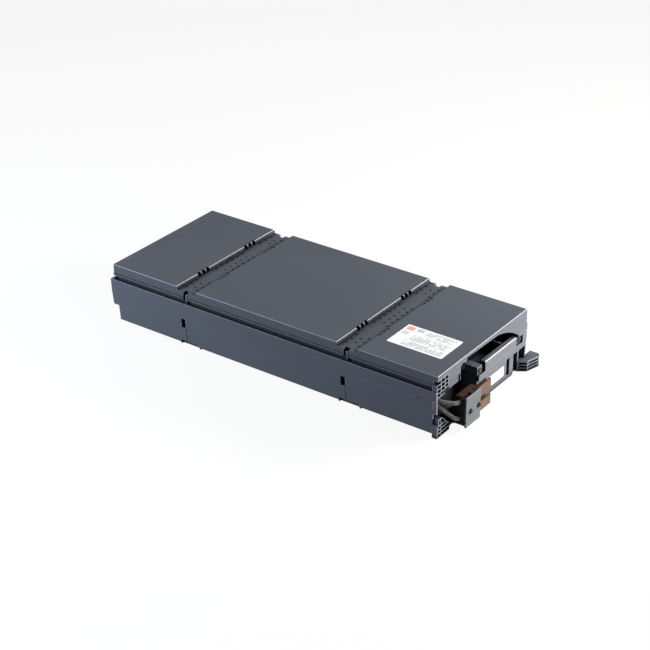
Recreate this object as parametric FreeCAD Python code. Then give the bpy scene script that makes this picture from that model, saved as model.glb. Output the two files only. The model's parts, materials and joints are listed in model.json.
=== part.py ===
import FreeCAD, Part
import math
import os

# Battery cartridge for a rack-mounted uninterruptible power supply: a long flat moulded tray
# closed by a lid with three raised panels and two vented channels.  Inside lie eight sealed
# blocks in series; in front are a pull handle, guide ears and a two-blade power connector.
#
# Frame: millimetres, x across (right is +), front end toward -y, z up.  The origin is the
# centre of the tray's underside.  Two helpers place things the way the drawing gives them:
# along(d) is d behind the lid's front edge, down(d) is d below the lid's top.

# ---------------------------------------------------------------- driving dimensions
# Sealed blocks: they lie on their sides in four rows of two, and they set the inside.
BLOCK_WIDTH = 90.0
BLOCK_THICK = 70.0
BLOCK_LENGTH = 101.0
BLOCK_EDGE = 1.6
BLOCK_COVER = 6.0
BLOCK_GAP = 0.4
ROW_GAP = 0.6
TERMINAL_GAP = 28.0
DUCT = 15.1
SIDE_CLEARANCE = 0.5
REAR_CLEARANCE = 0.7
ROOF_CLEARANCE = 3.2
FIT = 0.3

# Lid: walls, raised panels and channels.
FRONT_PANEL = 113.2
REAR_PANEL = 109.1
CHANNEL = 31.3
CHANNEL_DEPTH = 5.0
CHANNEL_STEP = 1.0
CHANNEL_STEP_DROP = 2.3
LID_WALL = 2.5
LID_EDGE_RADIUS = 1.2
LID_CORNER_RADIUS = 2.0
GROOVE_TOP = 12.1
GROOVE_HEIGHT = 0.9
GROOVE_DEPTH = 0.6
LIP_HEIGHT = 2.4
LIP_PROUD = 0.5
WEB = 2.2
SKIRT_INSET = 3.7
SKIRT_WALL = 2.2
SKIRT_BOTTOM = 28.7

# Tray: drafted walls, stepped rear end and the recess in front of the bulkhead.
RIM_TOP = 20.7
RIM_PROUD = 2.9
TRAY_WALL = 2.8
FLOOR = 3.0
STEP_LINE = 38.3
STEP_DEPTH = 0.5
STEP_FADED = 0.03
STEP_FADE_START = 60.0
STEP_FADE_END = 150.0
FOOT_HEIGHT = 4.5
FOOT_INSET = 2.9
UNDERCUT = 7.5
REAR_STEP_HEIGHT = 26.1
REAR_STEP = 8.7
REAR_DRAFT = 1.6
LEDGE_HEIGHT = 3.0
RECESS = 30.0
BULKHEAD_TOP = 8.0

VENT_RADIUS = 1.1
VENT_PITCH = 11.0
VENT_ROWS = (4.5, 14.7, 22.8)

SLOT_CENTRE_X = 48.3
SLOT_WIDTH = 6.0
SLOT_RIB = 2.5
SLOT_DEPTH = 2.5
SLOT_COUNT = 3

LATCH_WIDTH = 8.0
LATCH_DEPTH = 5.6
LATCH_SHIFT = 1.0
TONGUE_WIDTH = 3.4
TONGUE_THICK = 2.0
TONGUE_NOSE = 1.6
WINDOW_WIDTH = 7.0
WINDOW_HEIGHT = 14.0
WINDOW_TOP = 43.0
WINDOW_SHIFT = 4.0
SLIT = 1.4
RAIL_NOTCH_WIDTH = 29.0
RAIL_NOTCH_HEIGHT = 8.0

PANEL_BACK = 3.0
SHELF_TOP = 43.5
SHELF_BAND = 8.0
CORNER_TOP = 28.3
POCKET_TOP = 51.5
POCKET_DEEP = 22.0
BAND_FLOOR = 1.5
SCORE_INSET = 13.5
SCORE_SIDE = 76.0
SCORE_WIDTH = 0.6
SCORE_DEPTH = 0.4
SCORE_MARK_START = 19.5
SCORE_MARK_LENGTH = 13.0
BOSS_BACK = 20.0
RECESS_RIB = 2.5
RECESS_RIB_X = 54.0
RECESS_RIB_TOP = 30.0
LUG_TOP = 32.5
BULKHEAD_OVERLAP = 1.1
PANEL_SLOT = 7.5
PANEL_SLOT_HEIGHT = 24.0
PANEL_SLOT_TOP = 55.0

# ---------------------------------------------------------------- worked-out places
BLOCK_FLOOR = FLOOR + FIT
HEIGHT = BLOCK_FLOOR + BLOCK_THICK + ROOF_CLEARANCE + LID_WALL + CHANNEL_DEPTH
SKIRT_SPACE = FIT + SKIRT_WALL + SKIRT_INSET
LID_WIDTH = TRAY_WALL + DUCT + 2 * BLOCK_WIDTH + BLOCK_GAP + SIDE_CLEARANCE + SKIRT_SPACE
HALF = LID_WIDTH / 2
BAY_RIGHT = -9.0
POCKET_LEFT = HALF - 24.5
PANEL_SLOT_X = HALF - 37.3
SCORE_X = HALF - 19.1
SCORE_MARK_X = HALF - 28.0
VENT_SIDE_X = HALF - 25.2
FIRST_ROW = RECESS + TRAY_WALL + FIT
ROW_STARTS = (FIRST_ROW,
              FIRST_ROW + BLOCK_LENGTH + TERMINAL_GAP,
              FIRST_ROW + 2 * BLOCK_LENGTH + TERMINAL_GAP + ROW_GAP,
              FIRST_ROW + 3 * BLOCK_LENGTH + 2 * TERMINAL_GAP + ROW_GAP)
REAR_LOWER = ROW_STARTS[3] + BLOCK_LENGTH + REAR_CLEARANCE + TRAY_WALL
REAR_OUTER = REAR_LOWER + REAR_STEP + REAR_DRAFT
LID_LENGTH = REAR_OUTER - RIM_PROUD
MIDDLE_PANEL = LID_LENGTH - FRONT_PANEL - REAR_PANEL - 2 * CHANNEL
COLUMN_STARTS = (-HALF + TRAY_WALL + DUCT, -HALF + TRAY_WALL + DUCT + BLOCK_WIDTH + BLOCK_GAP)
CHANNEL_STARTS = (FRONT_PANEL, FRONT_PANEL + CHANNEL + MIDDLE_PANEL)


def along(behind_front):
    return behind_front - LID_LENGTH / 2


def down(below_top):
    return HEIGHT - below_top


# ---------------------------------------------------------------- solid helpers
def box(x0, x1, y0, y1, z0, z1):
    corner = FreeCAD.Vector(min(x0, x1), min(y0, y1), min(z0, z1))
    return Part.makeBox(abs(x1 - x0), abs(y1 - y0), abs(z1 - z0), corner)


def prism(points, direction):
    """Closed polygon through 3-D points, pushed along a direction."""
    corners = [FreeCAD.Vector(*p) for p in points]
    outline = Part.makePolygon(corners + corners[:1])
    return Part.Face(outline).extrude(FreeCAD.Vector(*direction))


def prism_y(points_xz, y0, y1):
    return prism([(x, y0, z) for x, z in points_xz], (0, y1 - y0, 0))


def prism_x(points_yz, x0, x1):
    return prism([(x0, y, z) for y, z in points_yz], (x1 - x0, 0, 0))


def prism_z(points_xy, z0, z1):
    return prism([(x, y, z0) for x, y in points_xy], (0, 0, z1 - z0))


def rod(start, end, radius):
    base = FreeCAD.Vector(*start)
    axis = FreeCAD.Vector(*end) - base
    return Part.makeCylinder(radius, axis.Length, base, axis)


def fuse(shapes):
    whole = shapes[0].multiFuse(shapes[1:]) if len(shapes) > 1 else shapes[0]
    return whole.removeSplitter()


def round_edges(shape, radius, wanted):
    """Fillet the edges whose centre and direction the test accepts."""
    edges = [e for e in shape.Edges if wanted(e)]
    return shape.makeFillet(radius, edges) if edges else shape


def upright(edge):
    ends = edge.Vertexes
    if len(ends) != 2:
        return False
    a = ends[0].Point
    b = ends[1].Point
    return abs(a.x - b.x) < 1e-6 and abs(a.y - b.y) < 1e-6


def mirror_x(shape):
    return shape.mirror(FreeCAD.Vector(0, 0, 0), FreeCAD.Vector(1, 0, 0))


def save(name, shape):
    shape.exportStep(os.path.join("parts", name + ".step"))
    box_ = shape.BoundBox
    print(name, len(shape.Solids), shape.isValid(), round(shape.Volume / 1000, 1),
          [round(v, 1) for v in (box_.XMin, box_.YMin, box_.ZMin, box_.XMax, box_.YMax, box_.ZMax)])


# ---------------------------------------------------------------- tray
RIM_HALF = HALF + RIM_PROUD
FOOT_HALF = RIM_HALF - FOOT_INSET
BASE_HALF = FOOT_HALF - UNDERCUT
RIM_Z = down(RIM_TOP)
SKIRT_OUTER = HALF - SKIRT_INSET
SKIRT_INNER = SKIRT_OUTER - SKIRT_WALL
LEDGE_TOP = down(SKIRT_BOTTOM) - FIT
LATCH_CENTRES = [start + CHANNEL / 2 + LATCH_SHIFT for start in CHANNEL_STARTS]


def tray_section(offset, bottom, top):
    """Half-width at height z of the drafted side wall, offset inward by a wall."""
    draft = FOOT_INSET / (down(STEP_LINE) - FOOT_HEIGHT)

    def half_width(z):
        below = max(0.0, down(STEP_LINE) - z)
        return RIM_HALF - offset - draft * below

    right = [(half_width(bottom), bottom), (half_width(down(STEP_LINE)), down(STEP_LINE)),
             (RIM_HALF - offset, top)]
    return right + [(-x, z) for x, z in reversed(right)]


def outside_outline(step):
    step_z = down(STEP_LINE)
    right = [(BASE_HALF, 0), (FOOT_HALF - step, FOOT_HEIGHT), (RIM_HALF - step, step_z),
             (RIM_HALF, step_z + STEP_DEPTH), (RIM_HALF, RIM_Z)]
    return right + [(-x, z) for x, z in reversed(right)]


def faded_step():
    """Stretch of side wall over which the step line runs out to nothing."""
    wires = []
    for step, at in ((STEP_DEPTH, STEP_FADE_START), (STEP_FADED, STEP_FADE_END)):
        corners = [FreeCAD.Vector(x, along(at), z) for x, z in outside_outline(step)]
        wires.append(Part.makePolygon(corners + corners[:1]))
    return Part.makeLoft(wires, True, True)


def step_jogs():
    """The step line rises in a short ramp near the front corners."""
    ramp = [(along(-1), down(STEP_LINE)), (along(31.4), down(STEP_LINE)), (along(28), down(36.9)),
            (along(22), down(31.2)), (along(8.9), down(30.2)), (along(-1), down(30.2))]
    right = prism_x(ramp, RIM_HALF - STEP_DEPTH, RIM_HALF + 1)
    return fuse([right, mirror_x(right)])


def tray_outside():
    front = prism_y(outside_outline(STEP_DEPTH), along(0), along(STEP_FADE_START))
    rear = prism_y(outside_outline(STEP_FADED), along(STEP_FADE_END), along(REAR_OUTER))
    body = front.fuse(faded_step()).fuse(rear).cut(step_jogs())
    back = [(along(REAR_OUTER), RIM_Z), (along(REAR_OUTER - REAR_DRAFT), REAR_STEP_HEIGHT),
            (along(REAR_LOWER), REAR_STEP_HEIGHT), (along(REAR_LOWER), FOOT_HEIGHT),
            (along(REAR_LOWER - UNDERCUT), 0), (along(REAR_OUTER + 5), 0),
            (along(REAR_OUTER + 5), RIM_Z)]
    body = body.cut(prism_x(back, -RIM_HALF - 1, RIM_HALF + 1))

    def rear_corner(edge):
        return upright(edge) and edge.CenterOfMass.y > along(REAR_LOWER)

    return round_edges(body, LID_CORNER_RADIUS, rear_corner)


def tray_cavity():
    low = prism_y(tray_section(TRAY_WALL, FLOOR, RIM_Z + 1), along(-1),
                  along(REAR_LOWER - TRAY_WALL))
    shelf = REAR_STEP_HEIGHT + TRAY_WALL
    high = prism_y(tray_section(TRAY_WALL, shelf, RIM_Z + 1), along(-1),
                   along(REAR_OUTER - REAR_DRAFT - TRAY_WALL))
    return fuse([low, high])


def lid_ledge():
    """Shelf inside the rim that carries the lid's skirt, with a sloping underside."""
    inner = SKIRT_INNER - FIT
    wall = RIM_HALF - TRAY_WALL + 1
    section = [(inner, LEDGE_TOP), (wall, LEDGE_TOP), (wall, LEDGE_TOP - 2 * LEDGE_HEIGHT),
               (inner, LEDGE_TOP - LEDGE_HEIGHT)]
    start = along(RECESS + TRAY_WALL)
    right = prism_y(section, start, along(REAR_OUTER - TRAY_WALL))
    rear_inner = LID_LENGTH - SKIRT_INSET - SKIRT_WALL - FIT
    rear_wall = REAR_OUTER - TRAY_WALL + 1
    section = [(along(rear_inner), LEDGE_TOP), (along(rear_wall), LEDGE_TOP),
               (along(rear_wall), LEDGE_TOP - 2 * LEDGE_HEIGHT),
               (along(rear_inner), LEDGE_TOP - LEDGE_HEIGHT)]
    rear = prism_x(section, -wall, wall)
    return [right, mirror_x(right), rear]


def latch_tongue(centre):
    """Snap tongue on the ledge; its nose hooks over the lid's web."""
    inner = SKIRT_OUTER + FIT
    web_top = down(GROOVE_TOP + GROOVE_HEIGHT + LIP_HEIGHT) + WEB
    top = web_top + 4.2
    outline = [(inner, LEDGE_TOP - 1), (inner + TONGUE_THICK, LEDGE_TOP - 1),
               (inner + TONGUE_THICK, top - 1.5), (inner + TONGUE_THICK - 0.6, top),
               (inner, top), (inner - TONGUE_NOSE, web_top + 2.6), (inner - TONGUE_NOSE, web_top + FIT),
               (inner, web_top + FIT)]
    return prism_y(outline, along(centre - TONGUE_WIDTH / 2), along(centre + TONGUE_WIDTH / 2))


def side_openings(centre):
    """Window, slit and rail notch in the side wall under one channel."""
    out = RIM_HALF + 1
    deep = FOOT_HALF - TRAY_WALL - STEP_DEPTH - 3
    window_at = centre + WINDOW_SHIFT
    front = window_at - WINDOW_WIDTH / 2
    top = down(WINDOW_TOP)
    window = box(deep, out, along(front), along(front + WINDOW_WIDTH), top - WINDOW_HEIGHT, top)
    slit = box(FOOT_HALF - STEP_DEPTH - 0.8, out, along(front - SLIT), along(front),
               RAIL_NOTCH_HEIGHT - 1, top - WINDOW_HEIGHT + 2)
    notch_front = centre - RAIL_NOTCH_WIDTH / 2 - 4
    notch = box(BASE_HALF + 3.6, out, along(notch_front), along(notch_front + RAIL_NOTCH_WIDTH),
                -1, RAIL_NOTCH_HEIGHT)
    return [window, slit, notch]


def rail_notch_roof(centre):
    """Thicker floor corner that keeps the tub closed behind a rail notch."""
    notch_front = centre - RAIL_NOTCH_WIDTH / 2 - 4
    return box(BASE_HALF + 1.6, FOOT_HALF - STEP_DEPTH - 0.5, along(notch_front - 2),
               along(notch_front + RAIL_NOTCH_WIDTH + 2), FLOOR - 1, RAIL_NOTCH_HEIGHT + 2)


# ---------------------------------------------------------------- corner post and guide ears
POST_LEFT = -HALF - 1.9
POST_RIGHT = POST_LEFT + 25.8
POST_TOP = 6.0
POST_BOTTOM = 29.5
POST_STEP = 6.3
POST_DEPTH = 6.5
POST_SHOULDER = 12.0
POCKET_RIB = 1.2
POCKET_DEPTH = 5.4

SIDE_SLOT = 2.6
SIDE_SLOT_FOOT = 49.5
LEFT_EAR_FRONT = -1.0
LEFT_EAR_BACK = 6.0
LEFT_EAR_MIDDLE = POST_LEFT + 9.2
LEFT_EAR_RIB = 1.4
LEFT_EAR_PITCH = 5.1
LEFT_EAR = ((0.9, 84.0), (0.9, 70.0), (3.6, 68.5), (3.6, 59.2), (11.7, 58.8), (19.3, 65.9),
            (29.7, 76.5), (28.8, 84.0))

RIGHT_EAR_TOP = 69.0
RIGHT_EAR_X = HALF - 14.5
RIGHT_EAR = ((0.0, 3.0), (7.5, -8.0), (28.0, -13.3), (33.0, -10.3), (33.0, 3.0))
RIGHT_EAR_SLOTS = 3
RIGHT_EAR_PLATE = 1.7
RIGHT_EAR_HOLE = 1.9
RIGHT_EAR_BACK = 12.0


def pocket_grid(x0, x1, z0, z1, y0, depth, columns, rows):
    """Rectangular pockets that leave a frame and ribs of one width."""
    width = (x1 - x0 - POCKET_RIB) / columns
    height = (z1 - z0 - POCKET_RIB) / rows
    pockets = []
    for column in range(columns):
        for row in range(rows):
            left = x0 + POCKET_RIB + column * width
            low = z0 + POCKET_RIB + row * height
            pockets.append(box(left, left + width - POCKET_RIB, y0 - 1, y0 + depth,
                               low, low + height - POCKET_RIB))
    return pockets


def corner_post():
    third = (POST_RIGHT - POST_LEFT) / 3
    body = box(POST_LEFT, POST_RIGHT, along(0), along(POST_DEPTH), down(POST_BOTTOM), down(POST_TOP))
    step = box(POST_RIGHT - third, POST_RIGHT + 1, along(-1), along(POST_DEPTH + 1),
               down(POST_BOTTOM + 1), down(POST_BOTTOM - POST_STEP))
    shoulder = box(POST_LEFT - 1, -HALF, along(-1), along(POST_DEPTH + 1), down(POST_SHOULDER),
                   down(POST_TOP - 1))
    body = body.cut(fuse([step])).cut(shoulder)
    tall = pocket_grid(POST_LEFT, POST_RIGHT - third + POCKET_RIB, down(POST_BOTTOM), down(POST_TOP),
                       along(0), POCKET_DEPTH, 2, 4)
    short = pocket_grid(POST_RIGHT - third, POST_RIGHT, down(POST_BOTTOM - POST_STEP),
                        down(POST_TOP), along(0), POCKET_DEPTH, 1, 3)
    return body.cut(tall[0].multiFuse(tall[1:] + short))


def left_ear_outline(inset):
    """Corners of the ear seen from the front, drawn in by one rim."""
    middle_x = POST_LEFT + LEFT_EAR[-1][0] / 2
    middle_z = down((LEFT_EAR[0][1] + LEFT_EAR[4][1]) / 2)
    corners = []
    for x, z in LEFT_EAR:
        side = 1 if POST_LEFT + x < middle_x else -1
        rise = 1 if down(z) < middle_z else -1
        corners.append((POST_LEFT + x + side * inset, down(z) + rise * inset))
    return corners


def left_ear():
    """Guide ear on the tray's left foot: open cells between a rim, one upright and level ribs."""
    body = prism_y(left_ear_outline(0), along(LEFT_EAR_FRONT), along(LEFT_EAR_BACK))
    cells = prism_y(left_ear_outline(LEFT_EAR_RIB), along(LEFT_EAR_FRONT - 1), along(POCKET_DEPTH))
    half_rib = LEFT_EAR_RIB / 2
    low = along(LEFT_EAR_FRONT - 2)
    high = along(LEFT_EAR_BACK)
    ribs = [box(LEFT_EAR_MIDDLE - half_rib, LEFT_EAR_MIDDLE + half_rib, low, high, 0, HEIGHT)]
    for level in range(1, 4):
        z = level * LEFT_EAR_PITCH
        ribs.append(box(POST_LEFT, POST_LEFT + 40, low, high, z, z + LEFT_EAR_RIB))
    return body.cut(cells.cut(ribs[0].multiFuse(ribs[1:])))


def right_ear_outline(inset):
    (x0, y0), (x1, y1), (x2, y2), (x3, y3), (x4, y4) = RIGHT_EAR
    return [(RIGHT_EAR_X + x0 + inset, along(y0)), (RIGHT_EAR_X + x1 + inset, along(y1 + inset)),
            (RIGHT_EAR_X + x2, along(y2 + inset)), (RIGHT_EAR_X + x3 - inset, along(y3 + inset)),
            (RIGHT_EAR_X + x4 - inset, along(y4))]


def right_ear():
    """Guide ear on the frame: a stack of level plates round a core, with an upright at the bend."""
    top = down(RIGHT_EAR_TOP)
    body = prism_z(right_ear_outline(0), 0, top)
    body = round_edges(body, 1.6, lambda e: upright(e) and e.CenterOfMass.x > RIGHT_EAR_X + 20
                       and e.CenterOfMass.y < along(-5))
    core = prism_z(right_ear_outline(6.5), -1, top + 1)
    bend_x = RIGHT_EAR_X + RIGHT_EAR[1][0]
    tip_x = RIGHT_EAR_X + RIGHT_EAR[2][0]
    uprights = [box(bend_x - 0.3, bend_x + 1.7, along(-20), along(RIGHT_EAR[0][1]), -1, top + 1),
                box(tip_x - 2.5, tip_x + 10, along(-20), along(RIGHT_EAR[0][1]), -1, top + 1),
                box(RIGHT_EAR_X - 1, RIGHT_EAR_X + 40, along(RIGHT_EAR[0][1] - 1.5), along(10), -1, top + 1)]
    solid = core.multiFuse(uprights)
    pitch = (top - RIGHT_EAR_PLATE) / RIGHT_EAR_SLOTS
    for index in range(RIGHT_EAR_SLOTS):
        low = RIGHT_EAR_PLATE * 0.6 + index * pitch
        gap = box(RIGHT_EAR_X - 1, RIGHT_EAR_X + 40, along(-20), along(10), low, low + pitch - RIGHT_EAR_PLATE)
        body = body.cut(gap.cut(solid))
    eye = (tip_x + 0.6, along(-14.5), top - 4.4)
    body = body.cut(rod(eye, (eye[0], along(-5), eye[2]), RIGHT_EAR_HOLE))
    root = box(RIGHT_EAR_X, HALF - TRAY_WALL - 1, along(PANEL_BACK - 0.5), along(PANEL_BACK + TRAY_WALL), 0, top)
    wall = box(RIGHT_EAR_X, RIGHT_EAR_X + TRAY_WALL, along(PANEL_BACK), along(FRAME_BACK), FLOOR + FIT,
               down(SHELF_TOP) - 1)
    below = box(RIGHT_EAR_X, RIGHT_EAR_X + TRAY_WALL, along(PANEL_BACK), along(PANEL_BACK + TRAY_WALL),
                0, FLOOR + 1)
    return fuse([body, root, wall, below])


# ---------------------------------------------------------------- front frame and bulkhead
FRAME_WALL = RIM_HALF - TRAY_WALL - FIT
FRAME_BACK = RECESS - FIT


def frame_shell():
    """Shelf under the handle, its front band, the panel below, the bay's side wall and a column."""
    shelf_z = down(SHELF_TOP)
    band_z = down(SHELF_TOP + SHELF_BAND)
    back = along(FRAME_BACK)
    top = box(BAY_RIGHT, FRAME_WALL, along(0), back, shelf_z - TRAY_WALL, shelf_z)
    band = box(BAY_RIGHT, FRAME_WALL, along(0), along(TRAY_WALL), band_z, shelf_z)
    under = box(BAY_RIGHT, FRAME_WALL, along(0), along(PANEL_BACK + 1), band_z, band_z + BAND_FLOOR)
    panel = box(BAY_RIGHT, FRAME_WALL, along(PANEL_BACK), along(PANEL_BACK + TRAY_WALL), 0, band_z + 1)
    bay_wall = box(BAY_RIGHT, BAY_RIGHT + TRAY_WALL, along(PANEL_BACK + TRAY_WALL) - 1, back,
                   FLOOR + FIT, shelf_z - 1)
    column = box(HANDLE_SCREWS[1] - BOSS_WIDTH / 2, FRAME_WALL, along(0), back, band_z, down(CORNER_TOP))
    lug_room = box(HANDLE_SCREWS[1] - BOSS_WIDTH, HANDLE_SCREWS[1] + BOSS_WIDTH / 2 + FIT, along(-1),
                   along(HANDLE_LUG_BACK + FIT), shelf_z, down(LUG_TOP) + FIT)
    rib = box(RECESS_RIB_X, RECESS_RIB_X + RECESS_RIB, along(HANDLE_LUG_BACK + 0.5), back, shelf_z - 1,
              down(RECESS_RIB_TOP))
    return fuse([top, band, under, panel, bay_wall, column.cut(lug_room), rib])


def handle_boss(centre):
    """Block on the shelf that takes one handle screw."""
    return box(centre - BOSS_WIDTH / 2, centre + BOSS_WIDTH / 2, along(HANDLE_LUG_BACK + FIT),
               along(BOSS_BACK), down(SHELF_TOP) - 1, down(LUG_TOP))


def make_front_frame():
    body = fuse([frame_shell()] + [handle_boss(centre) for centre in HANDLE_SCREWS])
    inside = prism_y(tray_section(TRAY_WALL + FIT, 0, HEIGHT), along(-1), along(RECESS))
    body = body.common(inside)
    pocket = box(POCKET_LEFT, FRAME_WALL + 1, along(-1), along(POCKET_DEEP), -1, down(POCKET_TOP))
    slot = box(PANEL_SLOT_X - PANEL_SLOT / 2, PANEL_SLOT_X + PANEL_SLOT / 2, along(-1),
               along(PANEL_BACK + TRAY_WALL + 1), down(PANEL_SLOT_TOP + PANEL_SLOT_HEIGHT),
               down(PANEL_SLOT_TOP))
    body = fuse([body.cut(pocket).cut(slot), right_ear()])
    for centre in HANDLE_SCREWS:
        body = body.cut(rod((centre, along(HANDLE_LUG_BACK - 1), down(HANDLE_SCREW_DROP)),
                            (centre, along(HANDLE_LUG_BACK + SCREW_LENGTH), down(HANDLE_SCREW_DROP)),
                            SCREW_RADIUS + FIT))
    return body.removeSplitter()


def make_bulkhead():
    """Plate between the blocks and the recess; the cables pass beside it, through the duct."""
    duct_side = -HALF + TRAY_WALL + DUCT - BULKHEAD_OVERLAP
    low = RIM_HALF - TRAY_WALL - FOOT_INSET - FIT
    plate = box(duct_side, low, along(RECESS), along(RECESS + TRAY_WALL), FLOOR + FIT, LEDGE_TOP)
    upper = box(duct_side, SKIRT_INNER - FIT, along(RECESS), along(RECESS + TRAY_WALL), LEDGE_TOP - 1,
                down(BULKHEAD_TOP))
    return fuse([plate, upper])


def front_edge_cuts():
    """Floor and side-wall corners cleared for the front frame and its guide ear."""
    out = RIM_HALF + 1
    top = FOOT_HEIGHT + 2
    left = box(-out, BAY_RIGHT - FIT, along(-1), along(PANEL_BACK), -1, top)
    right = box(BAY_RIGHT - FIT, out, along(-1), along(PANEL_BACK + TRAY_WALL + FIT), -1, top)
    ear = box(HALF - TRAY_WALL, out, along(-1), along(PANEL_BACK + FIT), -1, down(RIGHT_EAR_TOP) + FIT)
    return fuse([left, right, ear])


def make_tray():
    body = tray_outside().cut(tray_cavity())
    body = body.cut(front_edge_cuts())
    extras = lid_ledge()
    for centre in LATCH_CENTRES:
        tongue = latch_tongue(centre)
        roof = rail_notch_roof(centre)
        extras += [tongue, mirror_x(tongue), roof, mirror_x(roof)]
    body = body.multiFuse(extras + [corner_post(), left_ear()])
    openings = []
    for centre in LATCH_CENTRES:
        right = side_openings(centre)
        openings += right + [mirror_x(cut) for cut in right]
    side_slot = box(-RIM_HALF - 1, -FOOT_HALF + TRAY_WALL + 1, along(SIDE_SLOT), along(LEFT_EAR_BACK - 0.3),
                    down(SIDE_SLOT_FOOT), down(POST_BOTTOM) - 1)
    side_notch = box(-RIM_HALF - 1, POST_LEFT + LEFT_EAR[2][0], along(-1), along(LEFT_EAR_BACK - 0.3),
                     down(LEFT_EAR[2][1] - 2), down(SIDE_SLOT_FOOT + 1.5))
    openings += [side_slot, side_notch]
    openings.append(rod((FOOT_BOLT_X, along(FOOT_BOLT_Y), -1),
                        (FOOT_BOLT_X, along(FOOT_BOLT_Y), FLOOR + 1), SCREW_RADIUS + FIT))
    body = body.cut(openings[0].multiFuse(openings[1:]))
    return body.removeSplitter()


# ---------------------------------------------------------------- lid
FRONT_OPENING = ((-52.0, 30.0), (-53.1, 10.0), (-47.9, 7.0), (-38.9, 9.1), (-38.3, 3.9), (32.5, 5.8))
FRONT_SWEEP_MIDDLE = (HALF - 43.0, 14.2)
FRONT_SWEEP_END = (HALF - 15.7, 32.0)
OPENING_FOOT = 40.0
LEFT_SKIRT = 18.0
RIGHT_SKIRT = 28.0
TAB_LEFT = POST_RIGHT + 2.6
TAB_RIGHT = TAB_LEFT + 23.5
TAB_BOTTOM = 29.0
TAB_RADIUS = 3.0


def lid_outside():
    lip_top = down(GROOVE_TOP + GROOVE_HEIGHT)
    lip_bottom = lip_top - LIP_HEIGHT
    floor_z = down(CHANNEL_DEPTH)

    def block(inset, front, z0, z1, radius=LID_CORNER_RADIUS):
        solid = box(-HALF + inset, HALF - inset, along(front), along(LID_LENGTH - inset), z0, z1)
        return round_edges(solid, radius, lambda e: upright(e) and e.CenterOfMass.y > 0)

    layers = [block(0, 0, down(GROOVE_TOP), floor_z), block(GROOVE_DEPTH, 0, lip_top, down(GROOVE_TOP)),
              block(-LIP_PROUD, 0, lip_bottom, lip_top),
              block(SKIRT_INSET, RECESS + TRAY_WALL + FIT, down(SKIRT_BOTTOM), lip_bottom, 1.0)]
    starts = [0, CHANNEL_STARTS[0] + CHANNEL, CHANNEL_STARTS[1] + CHANNEL]
    lengths = [FRONT_PANEL, MIDDLE_PANEL, REAR_PANEL]
    for start, length in zip(starts, lengths):
        panel = box(-HALF, HALF, along(start), along(start + length), floor_z - 2, HEIGHT)
        last = abs(start + length - LID_LENGTH) < 1e-6

        def rear_corner(edge, last=last):
            return last and upright(edge) and edge.CenterOfMass.y > along(LID_LENGTH) - 1

        panel = round_edges(panel, LID_CORNER_RADIUS, rear_corner)
        panel = round_edges(panel, LID_EDGE_RADIUS,
                            lambda e: abs(e.BoundBox.ZMin - HEIGHT) < 1e-6)
        layers.append(panel)
        step_top = HEIGHT - CHANNEL_STEP_DROP
        if start > 0:
            layers.append(box(-HALF, HALF, along(start - CHANNEL_STEP), along(start + 1), floor_z - 1, step_top))
        if not last:
            end = start + length
            layers.append(box(-HALF, HALF, along(end - 1), along(end + CHANNEL_STEP), floor_z - 1, step_top))
    return fuse(layers)


def lid_inside():
    web_top = down(GROOVE_TOP + GROOVE_HEIGHT + LIP_HEIGHT) + WEB
    back = LID_LENGTH - LID_WALL
    high = box(-HALF + LID_WALL, HALF - LID_WALL, along(LID_WALL), along(back), web_top, HEIGHT - LID_WALL)
    roofs = []
    for start in CHANNEL_STARTS:
        roofs.append(box(-HALF, HALF, along(start - LID_WALL), along(start + CHANNEL + LID_WALL),
                         down(CHANNEL_DEPTH + LID_WALL), HEIGHT))
        for side in (-1, 1):
            span = slot_span()
            x0 = side * SLOT_CENTRE_X - span / 2 - LID_WALL
            for wall in (start, start + CHANNEL):
                roofs.append(box(x0, x0 + span + 2 * LID_WALL, along(wall - SLOT_DEPTH - LID_WALL),
                                 along(wall + SLOT_DEPTH + LID_WALL), down(CHANNEL_DEPTH + LID_WALL), HEIGHT))
    low = box(-SKIRT_INNER, SKIRT_INNER, along(LID_WALL),
              along(LID_LENGTH - SKIRT_INSET - SKIRT_WALL), down(SKIRT_BOTTOM) - 1, web_top + 0.5)
    return fuse([high.cut(fuse(roofs)), low])


def slot_span():
    return SLOT_COUNT * SLOT_WIDTH + (SLOT_COUNT - 1) * SLOT_RIB


def slot_cuts():
    """Clusters of slots in both walls of each channel, open to the panel's top."""
    cuts = []
    floor_z = down(CHANNEL_DEPTH)
    for start in CHANNEL_STARTS:
        for side in (-1, 1):
            x0 = side * SLOT_CENTRE_X - slot_span() / 2
            for index in range(SLOT_COUNT):
                left = x0 + index * (SLOT_WIDTH + SLOT_RIB)
                for near, far in ((start - SLOT_DEPTH, start + CHANNEL_STEP + 0.1),
                                  (start + CHANNEL - CHANNEL_STEP - 0.1, start + CHANNEL + SLOT_DEPTH)):
                    cuts.append(box(left, left + SLOT_WIDTH, along(near), along(far), floor_z, HEIGHT + 1))
                for near in (start - SLOT_DEPTH, start + CHANNEL):
                    cuts.append(box(left, left + SLOT_WIDTH, along(near), along(near + SLOT_DEPTH),
                                    floor_z - LID_WALL - 1, floor_z + 1))
    return cuts


def vent(x, y):
    """One small vent through the channel floor; eight sides keep the many copies light."""
    turns = [math.pi / 8 + i * math.pi / 4 for i in range(8)]
    ring = [(x + VENT_RADIUS * math.cos(t), y + VENT_RADIUS * math.sin(t)) for t in turns]
    return prism_z(ring, down(CHANNEL_DEPTH + LID_WALL + 1), down(CHANNEL_DEPTH - 1))


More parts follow.
